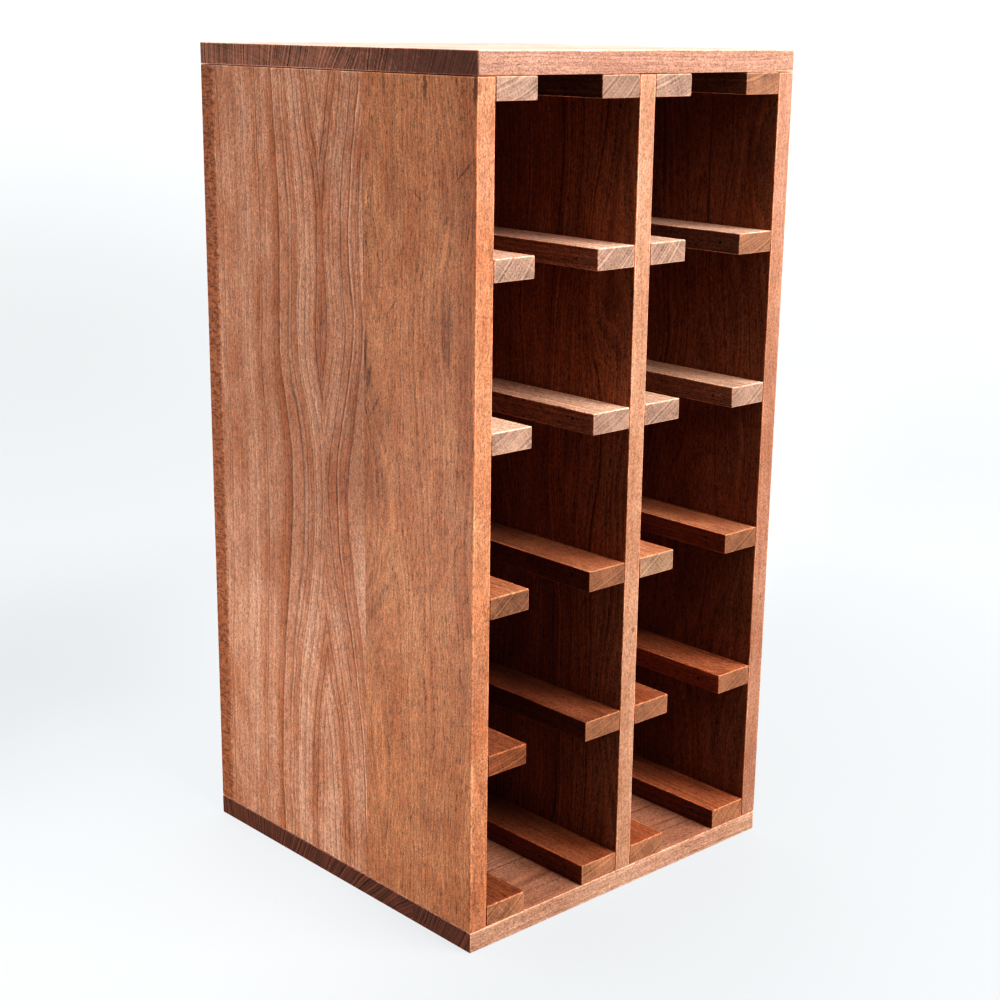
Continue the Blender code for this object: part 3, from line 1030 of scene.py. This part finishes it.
def finish_carcass(boards):
    for name, board in boards.items():
        woods = []
        for index, (low, high) in enumerate(board.strips):
            woods.append(
                wood(
                    f"{name}_wood_{index + 1}",
                    low,
                    high,
                    board.grain,
                    STRIP_COLOURS[name][index],
                    character=STRIP_GRAINS[name][index],
                    tone_and_light_tints=PAINTED_LIGHT_TINTS.get(name),
                    pith=PITHS.get(name),
                    board=(board.low, board.high),
                    ring_width=RING_WIDTHS.get(name, BOARD_RING_WIDTH),
                    wander=WANDERS.get(name, BOARD_WANDER),
                    ray_share=RAY_SHARES.get(name, BOARD_RAY_SHARE),
                    marks=MARKS.get((name, index), ()),
                    shadings=SHADINGS.get(name, ()),
                    figured=(name, index) == FIGURED_STRIP,
                )
            )
        board.finish(woods)


def make_rails(walls, nail_material):
    """Rails with their nails, which go on into the walls."""
    rails = []
    for node in sorted(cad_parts):
        if "_rail_" not in node:
            continue
        rail = Board(node, "Y", "rail_wood")
        bay, side = node.split("_")[0], node.split("_")[-1]
        wall = "centre_divider" if side != bay else f"{bay}_side_panel"
        direction = Vector((-1.0 if side == "left" else 1.0, 0.0, 0.0))
        free_face = rail.high.x if side == "left" else rail.low.x
        middle = (rail.low + rail.high) / 2
        lengthways = (
            rail.low.y + RAIL_NAIL_FROM_END,
            middle.y,
            rail.high.y - RAIL_NAIL_FROM_END,
        )
        places = []
        for y in lengthways:
            along = y + chance.uniform(-RAIL_NAIL_WANDER, RAIL_NAIL_WANDER)
            up = middle.z + chance.uniform(-RAIL_NAIL_WANDER, RAIL_NAIL_WANDER) / 2
            places.append(Vector((free_face, along, up)))
        boards = [rail, walls[wall]]
        add_nails(f"{node}_nails", places, direction, RAIL_NAIL_LENGTH, boards, nail_material)
        rails.append(rail)
    for rail in rails:
        bay, level = rail.node.split("_")[0], int(rail.node.split("_")[3])
        pale, deep, sawn = PALE_RAIL if level > PALE_RAIL_LEVELS else DEEP_RAIL
        tint = chance.uniform(*RAIL_TINT_RANGE)
        # Painted light on the rail's top and painted shade on its long sides, over its random tone
        top_tone_and_light = tint * RAIL_TOP_PAINTED_LIGHT[bay][level - 1]
        side_tone_and_shade = tint * RAIL_SIDE_PAINTED_SHADE[bay][level - 1]
        end_tint = RAIL_END_TINTS[level - 1] * chance.uniform(*RAIL_TINT_RANGE)
        slope = chance.uniform(*RAIL_STREAK_ANGLES)
        away = chance.uniform(*RAIL_PITH_DISTANCES)
        end_hue = END_HUES.get(rail.node, NO_TINT)
        sawn = tuple(end_tint * part * share for part, share in zip(sawn, end_hue))
        timber = wood(
            f"{rail.node}_wood",
            rail.low,
            rail.high,
            "Y",
            (pale, deep, sawn),
            tone_and_light_tints=(
                tuple(top_tone_and_light * hue for hue in RAIL_TOP_PAINTED_HIGHLIGHT.get(level, NO_TINT)),
                tuple(side_tone_and_shade * hue for hue in RAIL_SIDE_SHADE_HUE),
            ),
            pith=(-away * sin(slope), 0.0, away * cos(slope)),
            ring_width=RAIL_RING_WIDTH,
            wander=RAIL_WANDER,
            ray_share=RAIL_RAY_SHARE,
        )
        rail.finish([timber])


def nail_back(boards, material):
    """Nails through the back panel into the side panels' rebates and the divider."""
    low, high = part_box("back_panel")
    rows = {
        "left_side_panel": (low.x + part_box("left_side_panel")[1].x) / 2,
        "centre_divider": 0.0,
        "right_side_panel": (high.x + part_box("right_side_panel")[0].x) / 2,
    }
    reach = high.z - low.z - 2 * BACK_NAIL_FROM_END
    for wall, x in rows.items():
        places = []
        for row in range(BACK_NAIL_ROWS):
            z = low.z + BACK_NAIL_FROM_END + reach * row / (BACK_NAIL_ROWS - 1)
            places.append(Vector((x, high.y, z)))
        held = [boards["back_panel"], boards[wall]]
        name = f"back_nails_in_{wall}"
        add_nails(name, places, Vector((0.0, -1.0, 0.0)), BACK_NAIL_LENGTH, held, material)


def fit_dowels(boards):
    """Beech for the hidden dowels, and their holes in the boards."""
    uprights = {
        "left": "left_side_panel",
        "centre": "centre_divider",
        "right": "right_side_panel",
    }
    for node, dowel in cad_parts.items():
        if "_dowel_" not in node:
            continue
        end, upright = node.split("_")[:2]
        low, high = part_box(node)
        radius = (high.x - low.x) / 2 + DOWEL_CLEARANCE
        middle = (low + high) / 2
        start = Vector((middle.x, middle.y, low.z - DOWEL_CLEARANCE))
        stop = Vector((middle.x, middle.y, high.z + DOWEL_CLEARANCE))
        for board in (boards[f"{end}_board"], boards[uprights[upright]]):
            board.bores.append((start, stop, radius))
        beech = wood(f"{node}_beech", low, high, "Z", BEECH)
        dowel.data.materials.clear()
        dowel.data.materials.append(beech)
        dowel.data.shade_smooth()
        dowel.data.set_sharp_from_angle(angle=SHARP_ANGLE)


def make_floor():
    """Pale floor that fades into the background away from the rack."""
    shape = bmesh.new()
    bmesh.ops.create_circle(shape, cap_ends=True, segments=FLOOR_SIDES, radius=FLOOR_RADIUS)
    mesh = bpy.data.meshes.new("floor")
    shape.to_mesh(mesh)
    shape.free()
    g, shader, material = new_material("studio_floor")
    world = g.add("ShaderNodeTexCoord", {}).outputs["Object"]
    colour = g.mix(g.noise(world, *FLOOR_CLOUDS), *FLOOR_COLOURS)
    g.feed(shader.inputs["Base Color"], colour)
    across = g.vector("DOT_PRODUCT", world, FLOOR_LIGHT_AXIS, output="Value")
    away = g.vector("LENGTH", world, output="Value")
    strength = g.ramp(across, *FLOOR_LIGHT_START)
    strength = g.math("SUBTRACT", strength, g.ramp(across, *FLOOR_LIGHT_DIP))
    strength = g.math("ADD", strength, g.ramp(away, *FLOOR_LIGHT_RISE))
    seen = g.add("ShaderNodeLightPath", {}).outputs["Is Camera Ray"]
    share = g.math("MULTIPLY_ADD", seen, 1.0 - FLOOR_GLOW, FLOOR_GLOW)
    g.feed(shader.inputs["Emission Strength"], g.math("MULTIPLY", strength, share))
    g.feed(shader.inputs["Emission Color"], FLOOR_LIGHT)
    g.feed(shader.inputs["Roughness"], FLOOR_ROUGHNESS)
    g.feed(shader.inputs["Specular IOR Level"], FLOOR_SHINE)
    g.feed(shader.inputs["Alpha"], g.ramp(away, *FLOOR_FADE))
    mesh.materials.append(material)
    floor = link("floor", mesh)
    return floor


def add_softbox(name, place, target, size, power, colour=(1.0, 1.0, 1.0)):
    """A square light that shines from a place towards a target and isn't seen itself."""
    light = bpy.data.lights.new(name, "AREA")
    light.shape = "SQUARE"
    light.size = size
    light.energy = power
    light.color = colour
    lamp = bpy.data.objects.new(name, light)
    lamp.location = place
    lamp.rotation_mode = "QUATERNION"
    lamp.rotation_quaternion = (Vector(target) - Vector(place)).to_track_quat("-Z", "Y")
    lamp.visible_camera = False
    bpy.context.scene.collection.objects.link(lamp)
    return lamp


def keep_light_off(lamp, piece):
    """Let a light shine on everything but one piece."""
    unlit = bpy.data.collections.new(f"not lit by {lamp.name}")
    unlit.objects.link(piece)
    unlit.collection_objects[0].light_linking.link_state = "EXCLUDE"
    lamp.light_linking.receiver_collection = unlit


def make_lights(floor):
    """A white backdrop that lights the rack from behind, softboxes above and in front, and a
    low fill on the left that misses the floor."""
    world = bpy.data.worlds.new("studio")
    world.use_nodes = True
    g = Graph(world.node_tree)
    sky = world.node_tree.nodes["Background"]
    toward = g.split(g.add("ShaderNodeTexCoord", {}).outputs["Generated"])
    backdrop = g.ramp(toward["Y"], *BACKDROP_LIGHT)
    sideways = g.ramp(toward["X"], *BACKDROP_SEEN_RIGHT)
    shown = g.math("ADD", g.ramp(toward["Z"], *BACKDROP_SEEN), sideways)
    seen = g.add("ShaderNodeLightPath", {}).outputs["Is Camera Ray"]
    strength = g.add("ShaderNodeMix", {"Factor": seen})
    g.feed(strength.inputs["A"], backdrop)
    g.feed(strength.inputs["B"], shown)
    g.feed(sky.inputs["Strength"], strength.outputs["Result"])
    g.feed(sky.inputs["Color"], BACKDROP_COLOUR)
    bpy.context.scene.world = world
    for softbox in SOFTBOXES:
        add_softbox(*softbox)
    keep_light_off(add_softbox(*LEFT_FILL, LEFT_FILL_COLOUR), floor)


def make_camera():
    camera = bpy.data.objects.new("camera", bpy.data.cameras.new("camera"))
    turn = Matrix.Rotation(CAMERA_AZIMUTH, 4, "Z")
    tilt = Matrix.Rotation(radians(90) - CAMERA_DROP, 4, "X")
    roll = Matrix.Rotation(CAMERA_ROLL, 4, "Z")
    camera.matrix_world = Matrix.Translation(CAMERA_PLACE) @ turn @ tilt @ roll
    camera.data.lens = CAMERA_LENS
    camera.data.clip_end = CAMERA_REACH
    bpy.context.scene.collection.objects.link(camera)
    bpy.context.scene.camera = camera


def main():
    bpy.context.scene.view_settings.view_transform = "Standard"
    bpy.context.scene.view_settings.look = "Very High Contrast"
    make_camera()
    make_lights(make_floor())
    nail_steel = steel("nail_steel")
    boards = make_carcass()
    fit_dowels(boards)
    make_rails(boards, nail_steel)
    nail_back(boards, nail_steel)
    finish_carcass(boards)


main()
